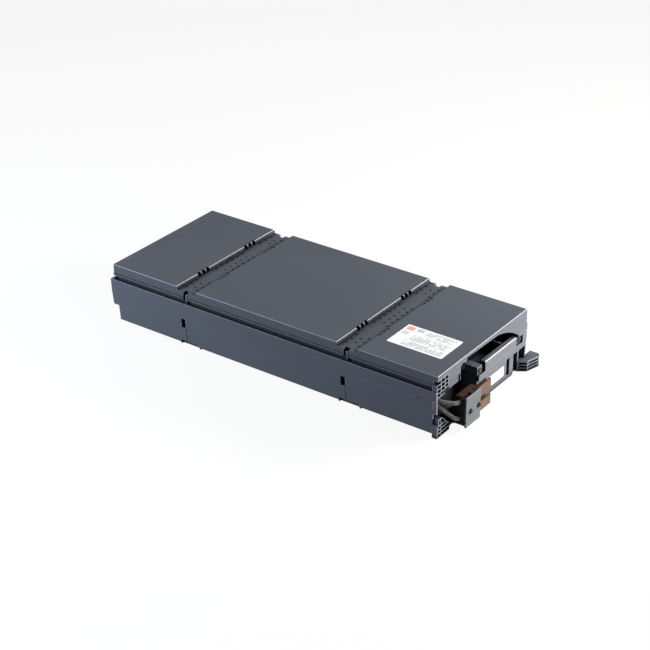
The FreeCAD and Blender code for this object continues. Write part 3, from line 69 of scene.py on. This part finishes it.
class Finish:
    """One procedural material; most methods add shader nodes and return the socket they end in."""

    def __init__(self, name):
        self.material = bpy.data.materials.new(name)
        self.material.use_nodes = True
        self.tree = self.material.node_tree
        self.shader = self.tree.nodes["Principled BSDF"]
        self.place = self.add("ShaderNodeTexCoord").outputs["Object"]

    def add(self, kind, **settings):
        node = self.tree.nodes.new(kind)
        for key, value in settings.items():
            setattr(node, key, value)
        return node

    def feed(self, source, target):
        """Sets a socket to a number or a colour, or links another socket to it."""
        if isinstance(source, (int, float)):
            target.default_value = source
        elif isinstance(source, tuple):
            target.default_value = (*source, 1)
        else:
            self.tree.links.new(source, target)

    def give(self, name, source):
        """Feeds one input of the material's main shader."""
        self.feed(source, self.shader.inputs[name])

    def noise(self, scale, detail=3.0, stretch=(1, 1, 1)):
        """Cloudy noise; a stretch below 1 draws it out along that axis."""
        mapped = self.add("ShaderNodeMapping")
        mapped.inputs["Scale"].default_value = stretch
        self.feed(self.place, mapped.inputs["Vector"])
        node = self.add("ShaderNodeTexNoise")
        node.inputs["Scale"].default_value = scale
        node.inputs["Detail"].default_value = detail
        self.feed(mapped.outputs["Vector"], node.inputs["Vector"])
        return node.outputs["Fac"]

    def spots(self, scale):
        """Distance to the nearest of many scattered points, which makes cells."""
        node = self.add("ShaderNodeTexVoronoi")
        node.inputs["Scale"].default_value = scale
        self.feed(self.place, node.inputs["Vector"])
        return node.outputs["Distance"]

    def shades(self, source, colour, stops):
        """A ramp through shades of one colour; each stop is its position and its factor."""
        node = self.add("ShaderNodeValToRGB")
        band = node.color_ramp
        while len(band.elements) < len(stops):
            band.elements.new(0.5)      # moved to its own position below
        for element, (position, factor) in zip(band.elements, stops):
            element.position = position
            element.color = (*tint(colour, factor), 1)
        self.feed(source, node.inputs["Fac"])
        return node.outputs["Color"]

    def spread(self, source, low, high):
        """Moves a value from the range 0 to 1 into the range low to high."""
        node = self.add("ShaderNodeMapRange")
        node.inputs["To Min"].default_value = low
        node.inputs["To Max"].default_value = high
        self.feed(source, node.inputs["Value"])
        return node.outputs["Result"]

    def sums(self, operation, first, second=0.0):
        """One step of arithmetic on numbers or sockets."""
        node = self.add("ShaderNodeMath", operation=operation)
        for socket, value in zip(node.inputs, (first, second)):
            self.feed(value, socket)
        return node.outputs[0]

    def mix(self, factor, first, second):
        """The first colour where the factor is 0, the second where it is 1."""
        node = self.add("ShaderNodeMix", data_type="RGBA")
        for number, value in zip(MIX_INPUTS, (factor, first, second)):
            self.feed(value, node.inputs[number])
        return node.outputs[MIX_RESULT]

    def bump(self, height, strength, distance, under=None):
        """Roughens the surface's normal, on top of another normal if one is given."""
        node = self.add("ShaderNodeBump")
        node.inputs["Strength"].default_value = strength
        node.inputs["Distance"].default_value = distance
        self.feed(height, node.inputs["Height"])
        if under is not None:
            self.feed(under, node.inputs["Normal"])
        self.give("Normal", node.outputs["Normal"])

    def split(self, vector):
        """The X, Y and Z of a vector."""
        node = self.add("ShaderNodeSeparateXYZ")
        self.feed(vector, node.inputs["Vector"])
        return node.outputs["X"], node.outputs["Y"], node.outputs["Z"]

    def painted_edge_highlight(self, radius):
        """How much painted highlight a face gets: 0 on straight flats, 1 and more on sharp and
        rounded edges.

        Also returns the surface's normal with its edges rounded off."""
        soft = self.add("ShaderNodeBevel", samples=BEVEL_SAMPLES)
        soft.inputs["Radius"].default_value = radius
        plain = self.add("ShaderNodeNewGeometry")
        dot = self.add("ShaderNodeVectorMath", operation="DOT_PRODUCT")
        self.feed(soft.outputs["Normal"], dot.inputs[0])
        self.feed(plain.outputs["Normal"], dot.inputs[1])
        turn = self.sums("SUBTRACT", 1.0, dot.outputs["Value"])
        sharp = self.sums("MULTIPLY", turn, SHARP_GAIN)
        across = [self.sums("ABSOLUTE", part) for part in self.split(plain.outputs["Normal"])]
        straight = self.sums("MAXIMUM", self.sums("MAXIMUM", across[0], across[1]), across[2])
        rounded = self.sums("MULTIPLY", self.sums("SUBTRACT", 1.0, straight), ROUNDED_GAIN)
        return self.sums("MAXIMUM", sharp, rounded), soft.outputs["Normal"]

    def hollow(self, reach):
        """1 on open faces, falling to 0 deep in grooves and pockets, where shade is painted into
        the colour.
        """
        node = self.add("ShaderNodeAmbientOcclusion", samples=HOLLOW_SAMPLES)
        node.inputs["Distance"].default_value = reach
        return node.outputs["AO"]

    def within(self, value, low, high):
        """1 where a coordinate lies between two limits."""
        offset = self.sums("SUBTRACT", value, (low + high) / 2)
        return self.sums("LESS_THAN", self.sums("ABSOLUTE", offset), (high - low) / 2)

    def rows(self, value, pitch, share):
        """1 on evenly spaced bars, which take up a share of each pitch."""
        turned = self.sums("FRACT", self.sums("DIVIDE", value, pitch))
        return self.sums("LESS_THAN", turned, share)


# ---------------------------------------------------------------- painted shadow in the lid's vents and slots
# Both channels of the lid have the same vents and slots, the rear one's a step further back.
# Y is where the front channel's rows and slot walls are; X is measured from the middle line.
CHANNEL_STEP = 251.0 * MM
VENT_PITCH = 11.0 * MM
VENT_ROWS = (-112.3 * MM, -122.5 * MM, -130.6 * MM)
VENT_GROUPS = (0.0, 77.3 * MM)              # middle of the centre group and of the side groups
VENT_COUNTS = ((6, 3), (5, 2), (6, 3))      # vents in a centre and a side group, row by row
# Radius of the painted shadow round each vent.
VENT_SHADOW_RADIUS = 1.75 * MM
SLOT_WALLS = (-140.35 * MM, -106.55 * MM)
SLOT_START = 36.8 * MM
SLOT_END = 59.8 * MM
SLOT_PITCH = 8.5 * MM
SLOT_SHARE = 0.72
SLOT_REACH = 1.6 * MM


def nearest(finish, value, places):
    """Distance from a Y coordinate to the nearest of some places in either channel."""
    best = None
    for place in places + tuple(place + CHANNEL_STEP for place in places):
        away = finish.sums("ABSOLUTE", finish.sums("SUBTRACT", value, place))
        best = away if best is None else finish.sums("MINIMUM", best, away)
    return best


def painted_vent_shadow(finish):
    """1 close around the vents and in the slots of the lid, where painted shadow darkens their
    openings.
    """
    x, y, _ = finish.split(finish.place)
    side = finish.sums("ABSOLUTE", x)
    by_wall = finish.sums("LESS_THAN", nearest(finish, y, SLOT_WALLS), SLOT_REACH)
    bars = finish.rows(finish.sums("SUBTRACT", side, SLOT_START), SLOT_PITCH, SLOT_SHARE)
    slots = finish.sums("MULTIPLY", bars, finish.within(side, SLOT_START, SLOT_END))
    painted_shadow = finish.sums("MULTIPLY", by_wall, slots)
    for row, counts in zip(VENT_ROWS, VENT_COUNTS):
        off_row = finish.sums("POWER", nearest(finish, y, (row,)), 2.0)
        for middle, count in zip(VENT_GROUPS, counts):
            # A vent stands halfway along each pitch, so an odd count shifts them by half a pitch.
            shift = count % 2 * VENT_PITCH / 2 - middle
            step = finish.sums("FLOORED_MODULO", finish.sums("ADD", side, shift), VENT_PITCH)
            off_place = finish.sums("POWER", finish.sums("SUBTRACT", step, VENT_PITCH / 2), 2.0)
            away = finish.sums("ADD", off_row, off_place)
            close = finish.sums("LESS_THAN", away, VENT_SHADOW_RADIUS ** 2)
            half = count * VENT_PITCH / 2
            group = finish.within(side, middle - half, middle + half)
            painted_shadow = finish.sums("MAXIMUM", painted_shadow, finish.sums("MULTIPLY", close, group))
    return painted_shadow


# ---------------------------------------------------------------- materials
PLASTIC_IOR = 1.22
SPECK_SHARE = 0.45          # of the specks in a plastic's colour, the rest being clouds
STREAK_SHARE = 0.35         # of the streaks in copper, the rest being tarnish
HIGHLIGHT_SHARE = 0.9            # the most of the surface's colour that a painted edge highlight covers
HIGHLIGHT_FACTOR = 4.2           # a painted edge highlight is this much lighter than the plastic
PAINTED_SHADE_FACTOR = 0.15         # painted shade in hollows is this much darker
VENT_SHADOW_SHARE = 0.08           # what shows of the plastic under the painted shadow of the vents and slots


def moulded_plastic(name, colour, shine=(0.38, 0.5), specular=0.25, highlight_radius=0.45 * MM,
                    reach=7 * MM, shade_strength=0.6, painted_shadow=None):
    """Satin moulded plastic: fine spark-eroded grain, cloudy flow marks, painted highlights on
    edges and painted shade in hollows.

    shine is the lowest and highest roughness; the settings after specular give the radius of the
    painted edge highlights, the width of a hollow that gets painted shade, how dark it gets, and
    any painted shadow of its own."""
    finish = Finish(name)
    clouds = finish.noise(9.0, detail=4.0)
    cloud = finish.shades(clouds, colour, ((0.3, 0.93), (0.7, 1.07)))
    specks = finish.noise(1040.0, detail=2.0)
    speck = finish.shades(specks, colour, ((0.35, 0.92), (0.65, 1.08)))
    body = finish.mix(SPECK_SHARE, cloud, speck)
    # Lighter colour along sharp and rounded edges: painted highlights.
    turn, rounded = finish.painted_edge_highlight(highlight_radius)
    edge = finish.sums("MINIMUM", turn, HIGHLIGHT_SHARE)
    paler = finish.mix(edge, body, tint(colour, HIGHLIGHT_FACTOR))
    # Darker colour deep in grooves and pockets: painted shade.
    unshaded = finish.sums("MAXIMUM", finish.spread(finish.hollow(reach), -shade_strength, 1.0), 0.0)
    # Darker colour round the lid's vents and in its slots: painted shadow.
    if painted_shadow is not None:
        outside_vent_shadow = finish.spread(painted_shadow(finish), 1.0, VENT_SHADOW_SHARE)
        unshaded = finish.sums("MULTIPLY", unshaded, outside_vent_shadow)
    finish.give("Base Color", finish.mix(unshaded, tint(colour, PAINTED_SHADE_FACTOR), paler))
    rub = finish.noise(38.0, detail=5.0, stretch=(1.0, 0.35, 1.0))
    finish.give("Roughness", finish.spread(rub, *shine))
    finish.give("Specular IOR Level", specular)
    finish.give("IOR", PLASTIC_IOR)
    finish.bump(finish.noise(2600.0, detail=2.0), strength=0.12, distance=0.05 * MM, under=rounded)
    return finish.material


def brushed_copper(name, colour):
    """Rolled copper or brass: fine lines along the strip and patches of tarnish."""
    finish = Finish(name)
    tarnish = finish.noise(55.0, detail=5.0)
    patches = finish.shades(tarnish, colour, ((0.3, 0.78), (0.55, 1.0), (0.8, 1.12)))
    lines = finish.noise(900.0, stretch=(0.06, 0.06, 1.0))
    streak = finish.shades(lines, colour, ((0.3, 0.85), (0.7, 1.1)))
    finish.give("Base Color", finish.mix(STREAK_SHARE, patches, streak))
    finish.give("Metallic", 0.85)
    finish.give("Roughness", finish.spread(lines, 0.34, 0.5))
    finish.bump(lines, strength=0.15, distance=0.03 * MM)
    return finish.material


def plated_steel(name, colour, shine):
    """Blackened steel with a fine grain; shine is the lowest and highest roughness."""
    finish = Finish(name)
    grain = finish.noise(1400.0)
    finish.give("Base Color", finish.shades(grain, colour, ((0.3, 0.8), (0.7, 1.15))))
    finish.give("Metallic", 0.9)
    finish.give("Roughness", finish.spread(grain, *shine))
    finish.bump(grain, strength=0.1, distance=0.03 * MM)
    return finish.material


def cable_rubber(name, colour):
    """Flexible cable jacket: soft sheen with faint dusty bloom."""
    finish = Finish(name)
    dust = finish.noise(120.0, detail=4.0)
    finish.give("Base Color", finish.shades(dust, colour, ((0.4, 1.0), (0.75, 1.8))))
    finish.give("Roughness", finish.spread(finish.noise(300.0, detail=2.0), 0.42, 0.6))
    finish.bump(finish.noise(1500.0, detail=2.0), strength=0.1, distance=0.05 * MM)
    return finish.material


def cell_foam(name, colour):
    """Grey closed-cell foam."""
    finish = Finish(name)
    cells = finish.spots(900.0)
    finish.give("Base Color", finish.shades(cells, colour, ((0.1, 0.6), (0.6, 1.2))))
    finish.give("Roughness", 0.92)
    finish.bump(cells, strength=0.6, distance=0.4 * MM)
    return finish.material


# Where a label is printed: low and high share of its length, then of its height.
PRINT_FIELDS = ((0.06, 0.78, 0.06, 0.3), (0.06, 0.74, 0.36, 0.62), (0.06, 0.6, 0.68, 0.94))
PRINT_ROWS = 17
PRINT_SHARE = 0.4           # of each row's height
PRINT_GAPS = 0.44           # noise below this breaks the bars
PRINT_COVER = 0.95
PRINT_GREY = (0.2, 0.2, 0.22)
# Plain blocks of colour near the rear end of the lid's label, in the same shares.
LID_BLOCKS = (((0.83, 0.96, 0.75, 0.94), (0.72, 0.36, 0.34)),
              ((0.66, 0.78, 0.8, 0.94), (0.5, 0.5, 0.52)),
              ((0.84, 0.96, 0.52, 0.68), (0.6, 0.6, 0.62)))


def printed_label(name, node, along, across, film, blocks=()):
    """Pale film with grey bars in place of print and plain blocks of colour.

    along and across are the axes of its length and its height: 0 for X, 1 for Y, 2 for Z."""
    finish = Finish(name)
    low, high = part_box(node)
    place = finish.split(finish.place)
    length, height = high[along] - low[along], high[across] - low[across]

    def field(shares):
        """1 inside a rectangle of the label."""
        x0, x1, y0, y1 = shares
        lengthways = finish.within(place[along], low[along] + x0 * length, low[along] + x1 * length)
        upright = finish.within(place[across], low[across] + y0 * height, low[across] + y1 * height)
        return finish.sums("MULTIPLY", lengthways, upright)

    unbroken = finish.sums("GREATER_THAN", finish.noise(210.0, detail=1.0), PRINT_GAPS)
    rows = finish.rows(place[across], height / PRINT_ROWS, PRINT_SHARE)
    bars = finish.sums("MULTIPLY", rows, unbroken)
    inked = field(PRINT_FIELDS[0])
    for shares in PRINT_FIELDS[1:]:
        inked = finish.sums("MAXIMUM", inked, field(shares))
    ink = finish.sums("MULTIPLY", finish.sums("MULTIPLY", bars, inked), PRINT_COVER)
    base = finish.shades(finish.noise(60.0), film, ((0.35, 0.97), (0.65, 1.0)))
    body = finish.mix(ink, base, PRINT_GREY)
    for shares, shade in blocks:
        body = finish.mix(field(shares), body, shade)
    finish.give("Base Color", body)
    finish.give("Roughness", finish.spread(finish.noise(140.0), 0.34, 0.46))
    finish.bump(finish.noise(700.0, detail=2.0), strength=0.05, distance=0.03 * MM)
    return finish.material


CASING = (0.088, 0.096, 0.118)
LID = (0.08, 0.087, 0.106)
HANDLE = (0.094, 0.1, 0.118)
CONTACT_BLACK = (0.03, 0.029, 0.031)
CONTACT_GREY = (0.085, 0.093, 0.108)
BULKHEAD = (0.07, 0.075, 0.09)
BLOCK_CASE = (0.06, 0.06, 0.064)
NYLON = (0.62, 0.6, 0.55)
SCREW_STEEL = (0.13, 0.13, 0.14)
BOLT_STEEL = (0.05, 0.05, 0.055)
COPPER = (0.23, 0.138, 0.095)
BRASS = (0.74, 0.6, 0.32)
CABLE_JACKET = (0.07, 0.072, 0.072)
LEAD_JACKET = (0.022, 0.022, 0.024)
FOAM = (0.09, 0.09, 0.1)
LID_FILM = (0.86, 0.86, 0.87)
# The front label's film is painted darker than the lid's: shade that offsets the strong front
# softbox.
FRONT_FILM_SHADED = (0.62, 0.62, 0.62)

# One finish for each slot of the record.
MATERIALS = {
    # The settings after each plastic's colour give its painted edge highlights, its painted shade
    # in hollows and, for the lid, painted shadow in its vents and slots.
    "casing": moulded_plastic("tray plastic", CASING, highlight_radius=0.9 * MM, shade_strength=1.2),
    "casing_lid": moulded_plastic("lid plastic", LID, highlight_radius=0.3 * MM, shade_strength=1.2, painted_shadow=painted_vent_shadow),
    "casing_handle": moulded_plastic("handle plastic", HANDLE, shine=(0.42, 0.55)),
    "connector_black": moulded_plastic("contact block plastic", CONTACT_BLACK, shine=(0.4, 0.6)),
    "connector_grey": moulded_plastic("contact cover plastic", CONTACT_GREY),
    "screw_steel": plated_steel("blackened screw steel", SCREW_STEEL, shine=(0.25, 0.4)),
    "bolt_black": plated_steel("black bolt steel", BOLT_STEEL, shine=(0.35, 0.5)),
    "copper": brushed_copper("blade copper", COPPER),
    "tab_brass": brushed_copper("terminal brass", BRASS),
    "sleeve_nylon": moulded_plastic("terminal sleeve nylon", NYLON, specular=0.5),
    "cable_jacket": cable_rubber("main cable jacket", CABLE_JACKET),
    "lead_jacket": cable_rubber("jumper lead jacket", LEAD_JACKET),
    "foam": cell_foam("packing foam", FOAM),
    "label": printed_label("lid label film", "lid_label", 1, 0, LID_FILM, LID_BLOCKS),
    "block_case": moulded_plastic("battery block case", BLOCK_CASE, shine=(0.35, 0.5)),
}

# Nodes that need a finish of their own, apart from their slot's.
NODE_FINISHES = {
    "front_label": printed_label("front label film", "front_label", 0, 2, FRONT_FILM_SHADED),
    # The front frame and the bulkhead take painted shade from hollows further off than the rest,
    # the bulkhead most of all.
    "front_frame": moulded_plastic("front plastic", CASING, highlight_radius=0.6 * MM, reach=15 * MM),
    "bulkhead": moulded_plastic("bulkhead plastic", BULKHEAD, reach=40 * MM),
}


def dress_nodes():
    """Gives every node its finish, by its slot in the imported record."""
    slots = {part["node"]: part["material_slot"] for part in frame["record"]["subparts"]}
    for name, node in nodes.items():
        finish = NODE_FINISHES.get(name, MATERIALS[slots[name]])
        node.data.materials.clear()
        node.data.materials.append(finish)


dress_nodes()


# ---------------------------------------------------------------- screws
HEAD_RADIUS = 3.1 * MM
HEAD_HEIGHT = 1.8 * MM
HEAD_TAPER = 0.97           # top radius against the seat's
HEAD_ROUNDING = 0.85 * MM
HEAD_SIDES = 40
ROUNDING_STEPS = 5
RECESS_ARM = 1.75 * MM
RECESS_WIDTH = 0.62 * MM
RECESS_DEPTH = 1.2 * MM
RECESS_LEAD = 0.5 * MM      # how far the cutter stands out of the head
RECESS_TAPER = (1.25, 0.5)  # share of the arm's length at the cutter's mouth and at its floor
SHANK_RADIUS = 1.5 * MM
SHANK_SIDES = 20
MERGE_DISTANCE = 0.001 * MM
FACE_FRONT = Matrix.Rotation(math.pi / 2, 4, "X")


def to_object(mesh, name, finish):
    """Closed, outward-facing mesh in a new object at the origin."""
    bmesh.ops.remove_doubles(mesh, verts=mesh.verts, dist=MERGE_DISTANCE)
    bmesh.ops.recalc_face_normals(mesh, faces=mesh.faces)
    data = bpy.data.meshes.new(name)
    mesh.to_mesh(data)
    mesh.free()
    data.materials.append(finish)
    piece = bpy.data.objects.new(name, data)
    scene.collection.objects.link(piece)
    return piece


def joined(mesh, part):
    """Adds a finished bmesh to another and frees it."""
    data = bpy.data.meshes.new("part")
    part.to_mesh(data)
    part.free()
    mesh.from_mesh(data)
    bpy.data.meshes.remove(data)


def pan_head(seat):
    """Domed head with its seat at the given point, facing forward (-Y)."""
    head = bmesh.new()
    bmesh.ops.create_cone(head, cap_ends=True, segments=HEAD_SIDES, radius1=HEAD_RADIUS,
                          radius2=HEAD_RADIUS * HEAD_TAPER, depth=HEAD_HEIGHT)
    rim = [edge for edge in head.edges if all(vert.co.z > 0 for vert in edge.verts)]
    bmesh.ops.bevel(head, geom=rim, offset=HEAD_ROUNDING, segments=ROUNDING_STEPS,
                    profile=0.5, affect="EDGES", material=-1)
    place = Matrix.Translation((seat[0], seat[1] - HEAD_HEIGHT / 2, seat[2]))
    bmesh.ops.transform(head, matrix=place @ FACE_FRONT, verts=head.verts)
    return head


def shank(seat, length):
    """Plain shank behind the seat, bedded in the plastic."""
    body = bmesh.new()
    place = Matrix.Translation((seat[0], seat[1] + length / 2, seat[2]))
    bmesh.ops.create_cone(body, cap_ends=True, segments=SHANK_SIDES, radius1=SHANK_RADIUS,
                          radius2=SHANK_RADIUS, depth=length, matrix=place @ FACE_FRONT)
    return body


def cross_cutter(seat, turn):
    """Four-armed tapered cross in front of a head, to sink its driver recess."""
    arms = bmesh.new()
    rings = []
    heights = (HEAD_HEIGHT + RECESS_LEAD, HEAD_HEIGHT - RECESS_DEPTH)
    for height, share in zip(heights, RECESS_TAPER):
        ring = []
        for quarter in range(4):
            angle = turn + quarter * math.pi / 2
            along = Vector((math.cos(angle), 0.0, math.sin(angle)))
            across = Vector((-math.sin(angle), 0.0, math.cos(angle)))
            for side in (-1, 1):
                ring.append(along * RECESS_ARM * share + across * side * RECESS_WIDTH / 2)
            ring.append(along * RECESS_WIDTH / 2 + across * RECESS_WIDTH / 2)
        rings.append([arms.verts.new((seat[0] + corner.x, seat[1] - height, seat[2] + corner.z))
                      for corner in ring])
    mouth, floor = rings
    for i in range(len(mouth)):
        j = (i + 1) % len(mouth)
        arms.faces.new((mouth[i], mouth[j], floor[j], floor[i]))
    arms.faces.new(mouth)
    arms.faces.new(list(reversed(floor)))
    bmesh.ops.recalc_face_normals(arms, faces=arms.faces)
    return arms


def cross_screws(name, node, slot, turns):
    """Two pan-head screws in place of a node's plain ones; turns are their recesses' angles."""
    low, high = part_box(node)
    middle = (low[2] + high[2]) / 2
    seat_y = low[1] + HEAD_HEIGHT
    seats = [(low[0] + HEAD_RADIUS, seat_y, middle), (high[0] - HEAD_RADIUS, seat_y, middle)]
    solids, tools = bmesh.new(), bmesh.new()
    for seat, turn in zip(seats, turns):
        joined(solids, pan_head(seat))
        joined(tools, cross_cutter(seat, turn))
    piece = to_object(solids, name, MATERIALS[slot])
    cutter = to_object(tools, name + "_tool", MATERIALS[slot])
    cut = piece.modifiers.new("recess", "BOOLEAN")
    cut.operation = "DIFFERENCE"
    cut.solver = "EXACT"
    cut.object = cutter
    graph = bpy.context.evaluated_depsgraph_get()
    finished = bpy.data.meshes.new_from_object(piece.evaluated_get(graph))
    piece.modifiers.clear()
    whole = bmesh.new()
    whole.from_mesh(finished)
    for seat in seats:
        joined(whole, shank(seat, high[1] - seat_y))
    whole.to_mesh(piece.data)
    whole.free()
    bpy.data.meshes.remove(finished)
    bpy.data.objects.remove(cutter)
    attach(piece, "root")
    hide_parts(node)


cross_screws("handle_cross_screws", "handle_screws", "screw_steel", turns=(0.5, 0.2))
cross_screws("cover_cross_screws", "connector_screws", "bolt_black", turns=(0.9, 0.35))


# ---------------------------------------------------------------- floor, lights and camera
FLOOR_REACH = 12.0                  # from the middle to each side
FLOOR_GLOW = 0.9                    # share of the floor's look that no shadow darkens
FLOOR_SEEN = (0.9, 0.9, 0.9)
FLOOR_REFLECTED = (0.12, 0.125, 0.14)
BACKDROP = (0.8, 0.8, 0.8)
SKY = (0.93, 0.96, 1.0)
SKY_STRENGTH = 0.1
LENS = 93.75
SENSOR_WIDTH = 36.0
VIEW_LIMIT = 50.0
CAMERA_PLACE = (-1.53699, -1.14183, 1.07684)
CAMERA_RIGHT = (0.58769398, -0.80905125, -0.00720152)
CAMERA_UP = (0.39273648, 0.27747888, 0.87679161)
CAMERA_BACK = (-0.70737108, -0.51811345, 0.48081661)


def lamp(name, place, aim, size, power, colour, mirrored=False):
    """Rectangular softbox; only a mirrored one shows in shiny surfaces."""
    data = bpy.data.lights.new(name, "AREA")
    data.shape = "RECTANGLE"
    data.size, data.size_y = size
    data.energy = power
    data.color = colour
    lamp_object = bpy.data.objects.new(name, data)
    scene.collection.objects.link(lamp_object)
    lamp_object.visible_glossy = mirrored
    lamp_object.location = place
    direction = Vector(aim) - Vector(place)
    lamp_object.rotation_euler = direction.to_track_quat("-Z", "Y").to_euler()


def background_rays(tree):
    """1 for the rays that look at the background: camera, mirror and see-through rays."""
    path = tree.nodes.new("ShaderNodeLightPath")
    total = path.outputs["Is Camera Ray"]
    for kind in ("Is Glossy Ray", "Is Transmission Ray"):
        either = tree.nodes.new("ShaderNodeMath")
        either.operation = "MAXIMUM"
        tree.links.new(total, either.inputs[0])
        tree.links.new(path.outputs[kind], either.inputs[1])
        total = either.outputs[0]
    return total


def blend(tree, factor, first, second):
    """Mixes two shaders: the first where the factor is 0, the second where it is 1."""
    node = tree.nodes.new("ShaderNodeMixShader")
    if isinstance(factor, float):
        node.inputs[0].default_value = factor
    else:
        tree.links.new(factor, node.inputs[0])
    tree.links.new(first.outputs[0], node.inputs[1])
    tree.links.new(second.outputs[0], node.inputs[2])
    return node


def coloured(tree, kind, colour):
    node = tree.nodes.new(kind)
    node.inputs["Color"].default_value = (*colour, 1)
    return node


def floor_finish():
    """White to look at, with the object's soft shadow kept; darker as a reflector of light."""
    material = bpy.data.materials.new("pale floor")
    material.use_nodes = True
    tree = material.node_tree
    tree.nodes.clear()
    output = tree.nodes.new("ShaderNodeOutputMaterial")
    dull = coloured(tree, "ShaderNodeBsdfDiffuse", FLOOR_REFLECTED)
    lit = coloured(tree, "ShaderNodeBsdfDiffuse", FLOOR_SEEN)
    white = tree.nodes.new("ShaderNodeEmission")
    seen = blend(tree, FLOOR_GLOW, lit, white)
    choice = blend(tree, background_rays(tree), dull, seen)
    tree.links.new(choice.outputs[0], output.inputs["Surface"])
    return material


def pale_floor():
    mesh = bmesh.new()
    bmesh.ops.create_grid(mesh, x_segments=1, y_segments=1, size=FLOOR_REACH)
    data = bpy.data.meshes.new("floor")
    mesh.to_mesh(data)
    mesh.free()
    floor = bpy.data.objects.new("floor", data)
    scene.collection.objects.link(floor)
    floor.data.materials.append(floor_finish())


def studio_world():
    """Pale grey to look at, and a faint cool light from all round."""
    world = bpy.data.worlds.new("studio")
    scene.world = world
    world.use_nodes = True
    tree = world.node_tree
    tree.nodes.clear()
    output = tree.nodes.new("ShaderNodeOutputWorld")
    backdrop = coloured(tree, "ShaderNodeBackground", BACKDROP)
    soft = coloured(tree, "ShaderNodeBackground", SKY)
    soft.inputs["Strength"].default_value = SKY_STRENGTH
    choice = blend(tree, background_rays(tree), soft, backdrop)
    tree.links.new(choice.outputs[0], output.inputs["Surface"])


def studio_camera():
    data = bpy.data.cameras.new("studio camera")
    data.lens = LENS
    data.sensor_width = SENSOR_WIDTH
    data.clip_end = VIEW_LIMIT
    camera = bpy.data.objects.new("studio camera", data)
    scene.collection.objects.link(camera)
    turn = Matrix((CAMERA_RIGHT, CAMERA_UP, CAMERA_BACK)).transposed().to_4x4()
    camera.matrix_world = Matrix.Translation(CAMERA_PLACE) @ turn
    scene.camera = camera


pale_floor()
studio_world()
lamp("front softbox", place=(1.1, -1.7, 0.17), aim=(0.0, -0.25, 0.05), size=(1.3, 0.26),
     power=98.0, colour=(1.0, 0.935, 0.79))
lamp("key softbox", place=(0.75, -0.8, 0.5), aim=(0.0, -0.2, 0.08), size=(0.5, 0.2),
     power=23.0, colour=(1.0, 0.99, 0.97))
lamp("left strip", place=(-0.95, 0.55, 0.55), aim=(-0.05, 0.0, 0.06), size=(1.3, 0.3),
     power=8.0, colour=(0.88, 0.94, 1.0), mirrored=True)
lamp("rear left softbox", place=(-0.75, 0.8, 0.42), aim=(-0.1, 0.15, 0.06), size=(0.4, 0.25),
     power=9.0, colour=(0.78, 0.88, 1.0))
studio_camera()
scene.view_settings.view_transform = "Standard"
